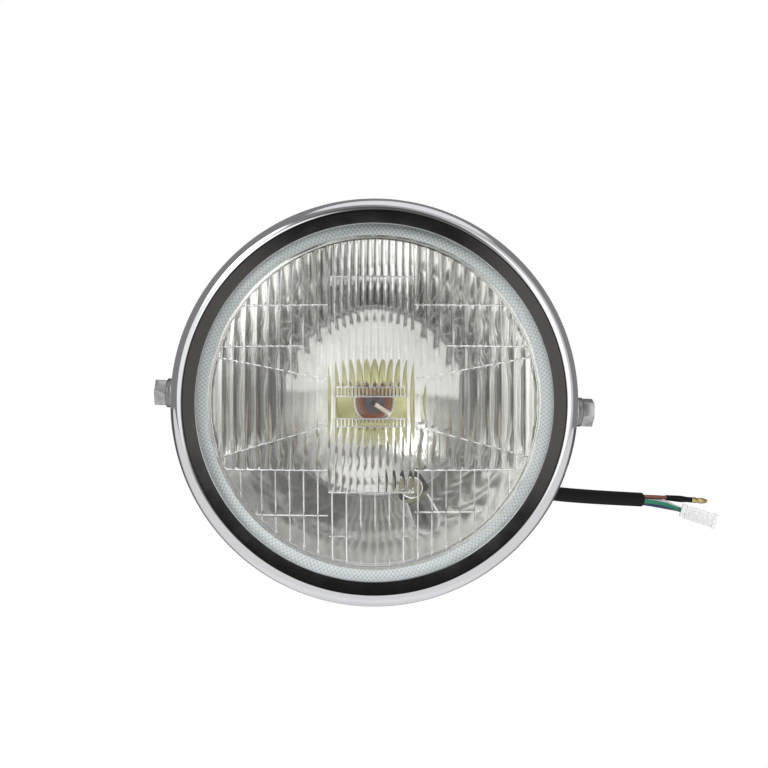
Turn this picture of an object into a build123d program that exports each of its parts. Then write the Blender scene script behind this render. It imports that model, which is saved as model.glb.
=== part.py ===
from build123d import *
import os
from math import asin, cos, degrees, pi, radians, sin, sqrt, tan

# Round motorcycle headlight, in millimetres. The origin is where the line of the two side bolts (X)
# crosses the axis of the lamp (Y). The lens faces -Y and +Z is up.

# Chrome rim
RIM_R = 90.0
RIM_DEPTH = 24.0
RIM_AHEAD = 50.0  # from the bolts forward to the front of the rim
RIM_SHEET = 0.8
RIM_SHOULDER = 5.5
RIM_BAND_DROP = 1.6  # how far the inner band falls back towards the glass
RIM_LIP = 1.2
RIM_BAND = 11.6  # from the rim's outside in to the glass that shows

# Lens and its flutes
LENS_LAP = 1.6  # glass behind the rim's lip
LENS_SET_BACK = 4.0
LENS_FLANGE = 4.0
LENS_GLASS = 3.5
LENS_RING = 7.3  # plain ring round the dome
DOME_HEIGHT = 11.0
LENS_TURN = 2.7  # the lens unit sits a little turned in the rim
FLUTE_INSET = 0.8  # from the dome's edge in to the flutes
CENTRE_LEFT = -20.1
CENTRE_RIGHT = 17.3
CENTRE_PITCH = 3.1
SIDE_PITCH = 5.4
FLUTE_DEPTH = 0.45
CENTRE_DEPTH = 0.35
PANEL_DEPTH = 0.8
WINDOW_TOP = 6.6
WINDOW_BOTTOM = -10.5
CENTRE_FOOT = -39.0
SIDE_FOOT = -29.3
PANEL_TOP_IN = 10.0  # the side panels flare outwards from these heights beside the centre
PANEL_TOP_OUT = 20.5
PANEL_FOOT_IN = -10.0
PANEL_FOOT_OUT = -25.0

# Reflector behind the lens
GASKET = 1.5
REFLECTOR_SHEET = 0.8
REFLECTOR_WALL = 1.0  # of the dish, measured along the axis
DISH_RING = 6.0  # flat flange round the dish
DISH_DEPTH = 51.27
NECK_R = 21.0
NECK_LENGTH = 6.4
NECK_FLANGE_R = 27.0

# Main bulb and what holds it
COLLAR_SHEET = 1.2
COLLAR_BORE = 18.5
BULB_FLANGE_R = 21.5
BULB_FLANGE = 1.0
BULB_GLASS_R = 9.5
BULB_GLASS_WALL = 0.8
BULB_GLASS_LENGTH = 40.0
BULB_TIP = 9.0  # rounding of the tip
BULB_CUP_WALL = 1.0
BULB_CUP_AHEAD = 10.2  # cup rim ahead of the flange
BULB_CUP_DEPTH = 4.0
BULB_CEMENT = 4.0  # depth of the cement in the foot of the glass
BULB_BODY_R = 11.5
BULB_BODY_LENGTH = 11.8
INSULATOR = 4.0
BLADE_WIDTH = 8.0
BLADE_THICK = 0.8
BLADE_LENGTH = 18.0
BLADE_OFFSET = 8.0
FILAMENT_R = 0.9
FILAMENT_LENGTH = 8.0
FILAMENT_SLANT = -35.0
POST_R = 0.4
CLIP_SHEET = 0.8
CLIP_ARM = 3.5  # width of the fork's arms
CLIP_FOOT = 20.0  # how far the arms reach below the axis
CLIP_PLAY = 0.6

# Dust boot and bulb socket
BOOT_WALL = 1.6
BOOT_LIP = 5.0
SOCKET_R = 14.5
SOCKET_LENGTH = 24.0
SOCKET_GAP = 2.0  # behind the insulator
SOCKET_GRIP = 5.0  # length of the boot's cuff on the socket
PORT_R = 5.5
PORT_LENGTH = 21.0  # from the socket's axis to the port's face

# Pilot bulb low in the dish
PILOT_X = 17.2
PILOT_Z = -39.0
PILOT_HOLE_R = 7.0
PILOT_FLANGE_R = 9.5
PILOT_FLANGE = 2.5
PILOT_BODY_AHEAD = 4.5
PILOT_TAIL = 0.8  # of the holder behind its flange
PILOT_BASE_R = 4.6
PILOT_BASE_LENGTH = 7.0
PILOT_GLASS_R = 5.2
PILOT_GLASS_LENGTH = 14.0
PILOT_SEAT = 5.0
PILOT_ROUTE = [(19.0, 24.0, -38.15), (23.0, 43.0, -26.0)]  # of its wire, inside the shell

# Clips that press the lens unit into the rim, hook and screw that hold the rim on the shell
RIM_CLIP_SHEET = 0.8
RIM_CLIP_ARC = 7.0
RIM_CLIP_TAB = 4.0
RIM_CLIP_FOOT = 3.5  # length of the foot on the reflector's flange
RIM_CLIPS = 4
HOOK_WIDTH = 14.0
HOOK_SHEET = 0.8
HOOK_LENGTH = 17.0
SCREW_R = 2.5
SCREW_HEAD_R = 4.0
SCREW_HEAD = 1.4
SCREW_REACH = 11.0
SCREW_INSET = 5.0  # ahead of the rim's rear edge
NUT_SIDE = 9.0
NUT_THICK = 3.5

# Shell
SHELL_WALL = 1.0
SHELL_INSET = 12.5  # from the front of the rim back to the shell's edge
SWELL_CLEAR = 1.0  # straight wall left behind the weld nuts
SHELL_TAPER = 18.0
SHELL_BEHIND = 76.0
SHELL_CORNER = 34.0
SHELL_SWELL = 60.0  # rounding where the taper starts

# Side bolts
PAD_R = 14.0
PAD_PROUD = 1.0  # of the shell's side
BOLT_R = 4.0
BOLT_HEAD_FLATS = 12.0
BOLT_HEAD = 5.5
BOLT_LENGTH = 22.0
WASHER_R = 8.0
WASHER = 1.6
SPRING_WASHER_R = 7.0
SPRING_WASHER = 2.1
SPRING_WASHER_SLIT = 1.2
SIDE_COLLAR_R = 7.0
SIDE_COLLAR = 5.6
WELD_NUT_FLATS = 13.0
WELD_NUT = 6.5
LEFT_BOLT_SPIN = 0.0
RIGHT_BOLT_SPIN = 17.0

# Lead, with its grommet in the shell's side
GROMMET_BACK = 34.8
GROMMET_ANGLE = -26.4
GROMMET_NECK_R = 6.2
GROMMET_FLANGE_R = 8.5
GROMMET_FLANGE = 2.0
GROMMET_GIVE = 0.6  # room for the curve of the wall
SLEEVE_R = 3.7
SLEEVE_BORE = 3.2
SLEEVE_OPEN = 10.0  # open end that the wires come out of
WIRE_R = 1.1
WIRE_SPREAD = 1.2
BUNDLE_TURN = 25.0  # of the four wires in the open end: brown on top, green in front
BEND_SHARE = 0.45  # of the shorter run beside a bend
# Routes of the sleeve and wires, measured from the grommet's place in the wall
SLEEVE_ROUTE = [(-38.05, 2.4, 18.96), (-15.65, -5.7, 7.86), (9.85, 3.5, -4.84),
                (39.85, 16.2, -7.14), (69.85, 26.7, -7.94)]
BROWN_ROUTE = [(80.6, 29.8, -6.42), (91.1, 33.0, -7.02)]
GREEN_ROUTE = [(82.5, 27.0, -9.6), (89.95, 24.97, -12.36), (95.55, 23.47, -13.92)]
BLUE_ROUTE = [(84.0, 29.6, -11.55), (90.88, 28.45, -12.36), (96.48, 26.95, -13.92)]
WHITE_ROUTE = [(84.0, 32.3, -8.9), (91.81, 31.93, -12.36), (97.41, 30.43, -13.92)]

# Ends of the wires
VINYL_WALL = 0.2
VINYL_BULGE = 0.3  # over the crimp
VINYL_OVERLAP = 7.4  # on the wire
VINYL_AHEAD = 8.2  # on the bullet's barrel
VINYL_SWELL = 2.0  # length of the bulge
VINYL_TAPER = 3.5
BULLET_R = 1.55
BULLET_LENGTH = 17.8
BULLET_COLLAR = 2.6
BULLET_WAIST_R = 1.15
BULLET_WAIST = 12.0  # from the wire to the waist behind the head
BULLET_FLANK = 1.2  # length of each slope beside the waist
BULLET_NOSE = 2.8
BULLET_NOSE_R = 0.95
CONNECTOR_LENGTH = 19.0
CONNECTOR_WIDTH = 12.4
CONNECTOR_HEIGHT = 6.6
CONNECTOR_WALL = 1.0
CONNECTOR_BACK = 7.5
CONNECTOR_ENTRY = 5.0
CONNECTOR_LIP = 0.35
CONNECTOR_LIP_LENGTH = 1.8
CONNECTOR_CAP = 2.2  # length of the retainer, from the rear face to its seam
CONNECTOR_SEAM = 0.4
CONNECTOR_SEAM_DEPTH = 0.3
LATCH_WIDTH = 4.0
LATCH_LENGTH = 4.5
LATCH_HEIGHT = 0.5
CONNECTOR_PITCH = 3.6
PIN_R = 1.0
PIN_LENGTH = 11.0

# Clearances
RIM_PLAY = 0.4
SCREW_PLAY = 0.3
THREAD_PLAY = 0.1
BOLT_PLAY = 0.4
FIT = 0.15
SLOT_PLAY = 0.2

# Places across the axis, from the rim inwards
view_r = RIM_R - RIM_BAND
lens_r = view_r + LENS_LAP
dome_r = lens_r - LENS_RING
flute_r = dome_r - FLUTE_INSET
dish_r = lens_r - DISH_RING
focal_length = dish_r**2 / (4 * DISH_DEPTH)
rim_bore = RIM_R - RIM_SHEET
shell_r = rim_bore - RIM_PLAY
shell_bore = shell_r - SHELL_WALL
pad_x = shell_r + PAD_PROUD

# Places along the axis, from the front backwards
rim_front = -RIM_AHEAD
rim_rear = rim_front + RIM_DEPTH
screw_y = rim_rear - SCREW_INSET
shell_front = rim_front + SHELL_INSET
lens_front = rim_front + LENS_SET_BACK
lens_back = lens_front + LENS_FLANGE
reflector_front = lens_back + GASKET
reflector_back = reflector_front + REFLECTOR_SHEET
dish_vertex = reflector_front + DISH_DEPTH
focus = dish_vertex - focal_length
neck_front = dish_vertex - NECK_R**2 / (4 * focal_length)
collar_front = neck_front + NECK_LENGTH
flange_front = collar_front + COLLAR_SHEET
flange_back = flange_front + BULB_FLANGE
cup_rim = flange_front - BULB_CUP_AHEAD
bulb_floor = cup_rim + BULB_CUP_DEPTH
insulator_front = flange_back + BULB_BODY_LENGTH
insulator_back = insulator_front + INSULATOR
socket_front = insulator_back + SOCKET_GAP
socket_back = socket_front + SOCKET_LENGTH

# The shell's tapered side and the lead's grommet in it
taper = radians(SHELL_TAPER)
weld_nut_corner = WELD_NUT_FLATS / sqrt(3)
shell_straight = weld_nut_corner + SHELL_SWELL * tan(taper / 2) + SWELL_CLEAR
grommet_turn = radians(GROMMET_ANGLE)
grommet_r = shell_r - (GROMMET_BACK - shell_straight) * tan(taper)
grommet_point = Vector(grommet_r * cos(grommet_turn), GROMMET_BACK, grommet_r * sin(grommet_turn))
grommet_out = Vector(cos(grommet_turn) * cos(taper), sin(taper), sin(grommet_turn) * cos(taper))
grommet_inside = grommet_point - grommet_out * (SHELL_WALL + GROMMET_GIVE)


def from_grommet(route):
    """Points of a route that is measured from the grommet."""
    return [grommet_point + Vector(point) for point in route]


sleeve_route = from_grommet(SLEEVE_ROUTE)
brown_route = from_grommet(BROWN_ROUTE)
green_route = from_grommet(GREEN_ROUTE)
blue_route = from_grommet(BLUE_ROUTE)
white_route = from_grommet(WHITE_ROUTE)


def turned(*corners):
    """Ring turned about the lamp's axis. A corner is (radius, y) or (radius, y, rounding)."""
    points = [corner[:2] for corner in corners]
    roundings = [corner[2] if len(corner) == 3 else 0 for corner in corners]
    outline = FilletPolyline(points, radius=roundings, close=True)
    return revolve(make_face(outline.edges()), Axis.Y)


def rod(start, end, radius):
    """Round bar between two points."""
    axis = Vector(end) - Vector(start)
    return extrude(Plane(origin=start, z_dir=axis) * Circle(radius), axis.length)


def unit_turn(shape):
    """A piece of the lens unit, turned with it in the rim."""
    return shape.rotate(Axis.Y, -LENS_TURN)


def front_rim():
    """Pressed ring: skirt, rounded shoulder, band that falls back to the glass, and lip."""
    band = rim_front + RIM_BAND_DROP
    ring = turned(
        (RIM_R, rim_rear),
        (RIM_R, rim_front, RIM_SHOULDER),
        (view_r, band, RIM_LIP),
        (view_r, lens_front),
        (view_r + RIM_SHEET, lens_front),
        (view_r + RIM_SHEET, band + RIM_SHEET),
        (rim_bore, rim_front + RIM_SHEET, RIM_SHOULDER - RIM_SHEET),
        (rim_bore, rim_rear),
    )
    return ring - screw_hole(RIM_R)


def screw_hole(radius):
    """Hole for the rim screw through a wall at the bottom."""
    return rod((0, screw_y, -radius - 1), (0, screw_y, -radius + SCREW_REACH), SCREW_R + SCREW_PLAY)


def lens():
    """Domed glass with a plain flange, its inner face ribbed with upright flutes."""
    outer = (dome_r**2 + DOME_HEIGHT**2) / (2 * DOME_HEIGHT)
    centre = lens_front - DOME_HEIGHT + outer
    inner = outer - LENS_GLASS
    inner_edge = sqrt(inner**2 - (centre - lens_back) ** 2)

    def cap(radius, x):
        return (x, centre - sqrt(radius**2 - x**2))

    edges = [
        ThreePointArc(cap(outer, 0), cap(outer, dome_r / 2), cap(outer, dome_r)),
        Polyline(cap(outer, dome_r), (lens_r, lens_front), (lens_r, lens_back), cap(inner, inner_edge)),
        ThreePointArc(cap(inner, inner_edge), cap(inner, inner_edge / 2), cap(inner, 0)),
        Line(cap(inner, 0), cap(outer, 0)),
    ]
    glass = revolve(make_face(edges), Axis.Y)
    sweep_axis = Axis((0, centre, 0), (1, 0, 0))
    half_sweep = degrees(asin(lens_r / inner))
    root = inner + LENS_GLASS / 3

    def ribs(left, right, pitch, depth, zone):
        """Upright flutes over a zone, each a shallow arc swept round the dome's centre."""
        count = round((right - left) / pitch)
        seams = [left + (right - left) * i / count for i in range(count + 1)]
        profile = [
            ThreePointArc(cap(inner, a), cap(inner - depth, (a + b) / 2), cap(inner, b))
            for a, b in zip(seams, seams[1:])
        ]
        profile += [
            Line(cap(inner, right), cap(root, right)),
            ThreePointArc(cap(root, right), cap(root, (left + right) / 2), cap(root, left)),
            Line(cap(root, left), cap(inner, left)),
        ]
        band = revolve(make_face(profile), sweep_axis, 2 * half_sweep).rotate(sweep_axis, -half_sweep)
        window = extrude(Plane.XZ * make_face(Polyline(zone, close=True)), outer, both=True)
        return band & window

    centre_upper = [(CENTRE_LEFT, WINDOW_TOP), (CENTRE_RIGHT, WINDOW_TOP), (CENTRE_RIGHT, lens_r),
                    (CENTRE_LEFT, lens_r)]
    centre_lower = [(CENTRE_LEFT, CENTRE_FOOT), (CENTRE_RIGHT, CENTRE_FOOT), (CENTRE_RIGHT, WINDOW_BOTTOM),
                    (CENTRE_LEFT, WINDOW_BOTTOM)]
    fluted = [ribs(CENTRE_LEFT, CENTRE_RIGHT, CENTRE_PITCH, CENTRE_DEPTH, zone)
              for zone in (centre_upper, centre_lower)]
    for beside, side in ((CENTRE_LEFT, -flute_r), (CENTRE_RIGHT, flute_r)):
        upper = [(beside, PANEL_TOP_IN), (side, PANEL_TOP_OUT), (side, lens_r), (beside, lens_r)]
        panel = [(beside, PANEL_TOP_IN), (side, PANEL_TOP_OUT), (side, PANEL_FOOT_OUT),
                 (beside, PANEL_FOOT_IN)]
        lower = [(beside, PANEL_FOOT_IN), (side, PANEL_FOOT_OUT), (side, SIDE_FOOT), (beside, SIDE_FOOT)]
        for zone, depth in ((upper, FLUTE_DEPTH), (panel, PANEL_DEPTH), (lower, FLUTE_DEPTH)):
            fluted.append(ribs(min(beside, side), max(beside, side), SIDE_PITCH, depth, zone))
    disc = rod((0, lens_front - DOME_HEIGHT, 0), (0, lens_back, 0), flute_r)
    return unit_turn(glass + [zone & disc for zone in fluted])


def lens_gasket():
    """Flat ring between the glass and the reflector's flange."""
    return turned((dish_r, lens_back), (lens_r, lens_back), (lens_r, reflector_front),
                  (dish_r, reflector_front))


def pilot_axis(y):
    """Point on the pilot bulb's axis."""
    return (PILOT_X, y, PILOT_Z)


def dish_y(radius):
    """Depth of the polished dish at a radius."""
    return dish_vertex - radius**2 / (4 * focal_length)


def dish_curve(inner, outer, shift):
    """Meridian of the dish from one radius to another, an exact parabola."""
    middle = (inner + outer) / 2
    corner = dish_y(inner) - inner / (2 * focal_length) * (middle - inner)
    return Bezier((inner, dish_y(inner) + shift), (middle, corner + shift), (outer, dish_y(outer) + shift))


def reflector():
    """Parabolic dish with a flange in front and a flanged neck behind for the bulb."""
    neck_outer = NECK_R + REFLECTOR_SHEET
    back_rim = sqrt(4 * focal_length * (dish_vertex + REFLECTOR_WALL - reflector_back))
    neck_step = collar_front - REFLECTOR_SHEET
    edges = [
        Polyline((dish_r, reflector_front), (lens_r, reflector_front), (lens_r, reflector_back),
                 (back_rim, reflector_back)),
        dish_curve(neck_outer, back_rim, REFLECTOR_WALL),
        Polyline((neck_outer, dish_y(neck_outer) + REFLECTOR_WALL), (neck_outer, neck_step),
                 (NECK_FLANGE_R, neck_step), (NECK_FLANGE_R, collar_front), (NECK_R, collar_front),
                 (NECK_R, neck_front)),
        dish_curve(NECK_R, dish_r, 0),
    ]
    dish = revolve(make_face(edges), Axis.Y)
    hole = rod(pilot_axis(reflector_front), pilot_axis(flange_front), PILOT_HOLE_R)
    return unit_turn(dish - hole)


def bulb_collar():
    """Ring behind the neck that the bulb's flange sits on."""
    return turned((COLLAR_BORE, collar_front), (NECK_FLANGE_R, collar_front), (NECK_FLANGE_R, flange_front),
                  (COLLAR_BORE, flange_front))


def bulb_base():
    """Metal base: cup for the glass, flange that locates the bulb, body behind."""
    cup = BULB_GLASS_R + FIT
    return turned(
        (0, bulb_floor), (cup, bulb_floor), (cup, cup_rim), (cup + BULB_CUP_WALL, cup_rim),
        (cup + BULB_CUP_WALL, flange_front), (BULB_FLANGE_R, flange_front), (BULB_FLANGE_R, flange_back),
        (BULB_BODY_R, flange_back), (BULB_BODY_R, insulator_front), (0, insulator_front),
    )


def bulb_glass():
    """Clear tube with a rounded tip, open at the base."""
    bore = BULB_GLASS_R - BULB_GLASS_WALL
    tip = bulb_floor - BULB_GLASS_LENGTH
    inner_tip = tip + BULB_GLASS_WALL
    return turned(
        (0, tip), (BULB_GLASS_R, tip, BULB_TIP), (BULB_GLASS_R, bulb_floor), (bore, bulb_floor),
        (bore, inner_tip, BULB_TIP - BULB_GLASS_WALL), (0, inner_tip),
    )


def along_filament(reach):
    """Place across the axis of a point on the filament."""
    slant = radians(FILAMENT_SLANT)
    return (reach * cos(slant), reach * sin(slant))


def post_places():
    """Places across the axis of the filament's two posts."""
    return [along_filament(reach) for reach in (FILAMENT_R, FILAMENT_LENGTH - FILAMENT_R)]


def bulb_filament():
    """Slanting coil on two posts that stand in the base."""
    start, end = ((x, focus, z) for x, z in (along_filament(0), along_filament(FILAMENT_LENGTH)))
    posts = [rod((x, focus, z), (x, bulb_floor, z), POST_R) for x, z in post_places()]
    return rod(start, end, FILAMENT_R) + posts


def bulb_cement():
    """Cement that fixes the glass and the posts in the base."""
    top = bulb_floor - BULB_CEMENT
    plug = rod((0, top, 0), (0, bulb_floor, 0), BULB_GLASS_R - BULB_GLASS_WALL - FIT)
    return plug - [rod((x, top, z), (x, bulb_floor, z), POST_R + FIT) for x, z in post_places()]


def blade_bars(play, front, back):
    """The three contact blades, or the slots for them with some play."""
    width = BLADE_WIDTH + 2 * play
    thick = BLADE_THICK + 2 * play
    middle = (front + back) / 2
    upright = [Pos(x, middle, 0) * Box(thick, back - front, width) for x in (-BLADE_OFFSET, BLADE_OFFSET)]
    return upright + [Pos(0, middle, BLADE_OFFSET) * Box(width, back - front, thick)]


def bulb_insulator():
    """Plug that closes the base, with slots for the blades."""
    plug = rod((0, insulator_front, 0), (0, insulator_back, 0), BULB_BODY_R)
    return plug - blade_bars(FIT, insulator_front, insulator_back)


def bulb_blades():
    """Three flat contacts."""
    return Compound(children=blade_bars(0, insulator_front, insulator_front + BLADE_LENGTH))


def bulb_clip():
    """Flat spring fork that presses the bulb's flange home."""
    slot = BULB_BODY_R + CLIP_PLAY
    plane = Plane(origin=(0, flange_back, 0), x_dir=(1, 0, 0), z_dir=(0, 1, 0))

    def arch(half_width):
        return Circle(half_width) + Pos(0, CLIP_FOOT / 2) * Rectangle(2 * half_width, CLIP_FOOT)

    return extrude(plane * (arch(slot + CLIP_ARM) - arch(slot)), CLIP_SHEET)


def bulb_boot():
    """Rubber cap from the collar to the socket."""
    lip = NECK_FLANGE_R + FIT
    cuff = SOCKET_R + FIT
    front = collar_front - REFLECTOR_SHEET
    shoulder = front + BOOT_LIP
    end = socket_front + SOCKET_GRIP
    return turned(
        (lip, front), (lip + BOOT_WALL, front), (lip + BOOT_WALL, shoulder),
        (cuff + BOOT_WALL, socket_front), (cuff + BOOT_WALL, end), (cuff, end), (cuff, socket_front),
        (lip, shoulder),
    )


lead_start = sleeve_route[0]
lead_heading = (sleeve_route[1] - lead_start).normalized()
port_root = lead_start - lead_heading * (lead_start.X / lead_heading.X)
port_face = port_root + lead_heading * PORT_LENGTH


def bulb_socket():
    """Round socket on the blades, with a port for the leads at its side."""
    body = rod((0, socket_front, 0), (0, socket_back, 0), SOCKET_R)
    body += rod(port_root, port_face, PORT_R)
    depth = insulator_front + BLADE_LENGTH + SLOT_PLAY
    return body - blade_bars(SLOT_PLAY, socket_front, depth)


def bundle(heading, turn):
    """Offsets of four wires that run side by side along a heading: front and rear, upper and lower."""
    forward = Vector(heading.Y, -heading.X, 0).normalized()
    up = forward.cross(heading)
    front = (forward * cos(radians(turn)) + up * sin(radians(turn))) * WIRE_SPREAD
    upper = (up * cos(radians(turn)) - forward * sin(radians(turn))) * WIRE_SPREAD
    return {(f, u): front * f + upper * u for f in (1, -1) for u in (1, -1)}


def cord(points, radius):
    """Round cord along straight runs joined by the largest arcs that they leave room for."""
    points = [Vector(point) for point in points]
    runs = [b - a for a, b in zip(points, points[1:])]
    bends = []
    for before, after in zip(runs, runs[1:]):
        turn = radians(before.get_angle(after))
        bends.append(BEND_SHARE * min(before.length, after.length) / tan(turn / 2))
    path = FilletPolyline(points, radius=bends)
    solid = sweep(Plane(origin=points[0], z_dir=runs[0]) * Circle(radius), path)
    share = solid.volume / (pi * radius**2 * path.length)
    print("cord of radius", radius, "bends", [round(bend, 1) for bend in bends])
    print("  length", round(path.length, 1), "volume share", round(share, 4))
    return solid


inner_bundle = bundle(lead_heading, 0)
sleeve_end = sleeve_route[-1]
end_heading = (sleeve_end - sleeve_route[-2]).normalized()
end_bundle = bundle(end_heading, BUNDLE_TURN)
wire_start = sleeve_end - end_heading * SLEEVE_OPEN


def bulb_leads():
    """Three short wires from the socket's port to the sleeve."""
    places = [offset for place, offset in inner_bundle.items() if place != (-1, -1)]
    return Compound(children=[rod(port_face + offset, lead_start + offset, WIRE_R) for offset in places])


def pilot_lead():
    """Wire from the pilot holder to the sleeve."""
    exit_point = Vector(*pilot_axis(pilot_back)).rotate(Axis.Y, -LENS_TURN)
    lead = cord([exit_point] + PILOT_ROUTE + [lead_start + inner_bundle[(-1, -1)]], WIRE_R)
    return lead - rod(lead_start, lead_start + lead_heading * SLEEVE_R, SLEEVE_R)


def harness_sleeve():
    """Black sleeve of the lead, open at its free end."""
    return cord(sleeve_route, SLEEVE_R) - rod(wire_start, sleeve_end, SLEEVE_BORE)


def wire(place, route):
    """Wire that comes straight out of the sleeve and runs to its terminal."""
    return cord([wire_start + end_bundle[place], sleeve_end + end_bundle[place]] + route, WIRE_R)


bullet_start = brown_route[-1]
bullet_heading = (bullet_start - brown_route[-2]).normalized()


def on_bullet(shape):
    """A piece turned about Y, set on the line of the bullet."""
    return Plane(origin=bullet_start, z_dir=bullet_heading) * Rot(90, 0, 0) * shape


def bullet_sleeve():
    """Vinyl sleeve over the end of the brown wire and the bullet's barrel, fullest over the crimp."""
    bore = WIRE_R + FIT
    end = bore + VINYL_WALL
    bulge = end + VINYL_BULGE
    return on_bullet(turned(
        (bore, -VINYL_OVERLAP), (end, -VINYL_OVERLAP), (bulge, 0), (bulge, VINYL_SWELL),
        (end, VINYL_SWELL + VINYL_TAPER), (end, VINYL_AHEAD), (bore, VINYL_AHEAD),
    ))


def bullet_terminal():
    """Brass bullet: barrel on the wire, collar, waist and rounded head."""
    return on_bullet(turned(
        (0, 0), (WIRE_R, 0), (WIRE_R, VINYL_AHEAD), (BULLET_R, VINYL_AHEAD),
        (BULLET_R, VINYL_AHEAD + BULLET_COLLAR), (BULLET_WAIST_R, BULLET_WAIST),
        (BULLET_R, BULLET_WAIST + BULLET_FLANK), (BULLET_R, BULLET_LENGTH - BULLET_NOSE),
        (BULLET_NOSE_R, BULLET_LENGTH), (0, BULLET_LENGTH),
    ))


connector_exit = blue_route[-1]
connector_heading = (connector_exit - blue_route[-2]).normalized()
connector_across = Vector(connector_heading.Y, -connector_heading.X, 0).normalized()
connector_plane = Plane(origin=connector_exit - connector_heading * CONNECTOR_ENTRY, x_dir=connector_across,
                        z_dir=connector_heading)


def connector_block(width, height, start, end):
    """Box along the connector, from one distance behind its rear face to another."""
    return extrude(connector_plane.offset(start) * Rectangle(width, height), end - start)


def connector_rods(start, end, radius):
    """Three round bars side by side along the connector."""
    plane = connector_plane.offset(start)
    return [extrude(plane * Pos(k * CONNECTOR_PITCH, 0) * Circle(radius), end - start) for k in (-1, 0, 1)]


def connector_housing():
    """Nylon housing: retainer round the wires, latch on top, and a lip round the open end."""
    body = connector_block(CONNECTOR_WIDTH, CONNECTOR_HEIGHT, 0, CONNECTOR_LENGTH)
    body += connector_block(CONNECTOR_WIDTH + 2 * CONNECTOR_LIP, CONNECTOR_HEIGHT + 2 * CONNECTOR_LIP,
                            CONNECTOR_LENGTH - CONNECTOR_LIP_LENGTH, CONNECTOR_LENGTH)
    body -= connector_block(CONNECTOR_WIDTH - 2 * CONNECTOR_WALL, CONNECTOR_HEIGHT - 2 * CONNECTOR_WALL,
                            CONNECTOR_BACK, CONNECTOR_LENGTH)
    seam_end = CONNECTOR_CAP + CONNECTOR_SEAM
    core = connector_block(CONNECTOR_WIDTH - 2 * CONNECTOR_SEAM_DEPTH,
                           CONNECTOR_HEIGHT - 2 * CONNECTOR_SEAM_DEPTH, CONNECTOR_CAP, seam_end)
    body -= connector_block(CONNECTOR_WIDTH, CONNECTOR_HEIGHT, CONNECTOR_CAP, seam_end) - core
    # The plane's second axis points down
    top = connector_plane.offset(seam_end) * Pos(0, -CONNECTOR_HEIGHT / 2)
    body += extrude(top * Rectangle(LATCH_WIDTH, 2 * LATCH_HEIGHT), LATCH_LENGTH)
    return body - connector_rods(0, CONNECTOR_BACK, WIRE_R + FIT)


def connector_terminals():
    """Three pins that carry on from the ends of the wires."""
    return Compound(children=connector_rods(CONNECTOR_ENTRY, CONNECTOR_ENTRY + PIN_LENGTH, PIN_R))


pilot_r = sqrt(PILOT_X**2 + PILOT_Z**2)
pilot_front = dish_y(pilot_r) - PILOT_BODY_AHEAD
pilot_flange = dish_y(pilot_r - PILOT_FLANGE_R) + REFLECTOR_WALL
pilot_back = pilot_flange + PILOT_FLANGE + PILOT_TAIL


def pilot_holder():
    """Rubber holder pushed into the dish from behind."""
    body = rod(pilot_axis(pilot_front), pilot_axis(pilot_back), PILOT_HOLE_R - FIT)
    body += rod(pilot_axis(pilot_flange), pilot_axis(pilot_flange + PILOT_FLANGE), PILOT_FLANGE_R)
    seat = rod(pilot_axis(pilot_front), pilot_axis(pilot_front + PILOT_SEAT), PILOT_BASE_R + FIT)
    return unit_turn(body - seat)


def pilot_base():
    """Brass base of the pilot bulb, seated in the holder."""
    seat = pilot_front + PILOT_SEAT
    return unit_turn(rod(pilot_axis(seat), pilot_axis(seat - PILOT_BASE_LENGTH), PILOT_BASE_R))


def pilot_bulb():
    """Small glass globe on its base."""
    base = pilot_front + PILOT_SEAT - PILOT_BASE_LENGTH
    tip = base - PILOT_GLASS_LENGTH
    globe = turned((0, base), (PILOT_GLASS_R, base), (PILOT_GLASS_R, tip, PILOT_GLASS_R - FIT), (0, tip))
    return unit_turn(Pos(PILOT_X, 0, PILOT_Z) * globe)


def rim_clips():
    """Spring clips: a tab on the rim and a foot on the reflector's flange."""
    foot = lens_r - RIM_CLIP_FOOT
    behind = reflector_back + RIM_CLIP_SHEET
    inside = rim_bore - RIM_CLIP_SHEET
    ahead = reflector_back - RIM_CLIP_TAB
    outline = [(foot, reflector_back), (inside, reflector_back), (inside, ahead), (rim_bore, ahead),
               (rim_bore, behind), (foot, behind)]
    clip = revolve(make_face(Polyline(outline, close=True).edges()), Axis.Y, RIM_CLIP_ARC)
    step = 360 / RIM_CLIPS
    turns = [step * (i + 0.5) - RIM_CLIP_ARC / 2 for i in range(RIM_CLIPS)]
    return Compound(children=[clip.rotate(Axis.Y, turn) for turn in turns])


def rim_hook():
    """Tab at the top of the rim that reaches behind the shell's edge."""
    half_angle = degrees(asin(HOOK_WIDTH / 2 / rim_bore))
    edge = shell_front - RIM_PLAY
    inside = shell_bore - RIM_PLAY
    front = edge - HOOK_SHEET
    outline = [(rim_bore, front), (rim_bore, edge), (inside, edge), (inside, edge + HOOK_LENGTH),
               (inside - HOOK_SHEET, edge + HOOK_LENGTH), (inside - HOOK_SHEET, front)]
    tab = revolve(make_face(Polyline(outline, close=True).edges()), Axis.Y, 2 * half_angle)
    return tab.rotate(Axis.Y, -90 - half_angle)


def rim_screw():
    """Screw through the bottom of the rim and shell."""
    seat = -RIM_R - FIT
    shank = rod((0, screw_y, seat), (0, screw_y, seat + SCREW_REACH), SCREW_R)
    return shank + rod((0, screw_y, seat - SCREW_HEAD), (0, screw_y, seat), SCREW_HEAD_R)


def rim_nut():
    """Square nut inside the shell for the rim screw."""
    under = sqrt(shell_bore**2 - (NUT_SIDE / 2) ** 2)
    nut = Pos(0, screw_y, NUT_THICK / 2 - under) * Box(NUT_SIDE, NUT_SIDE, NUT_THICK)
    return nut - rod((0, screw_y, -under), (0, screw_y, NUT_THICK - under), SCREW_R + THREAD_PLAY)


def wall_radius(y):
    """Outer radius of the shell's tapered side."""
    return shell_r - (y - shell_straight) * tan(taper)


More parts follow.
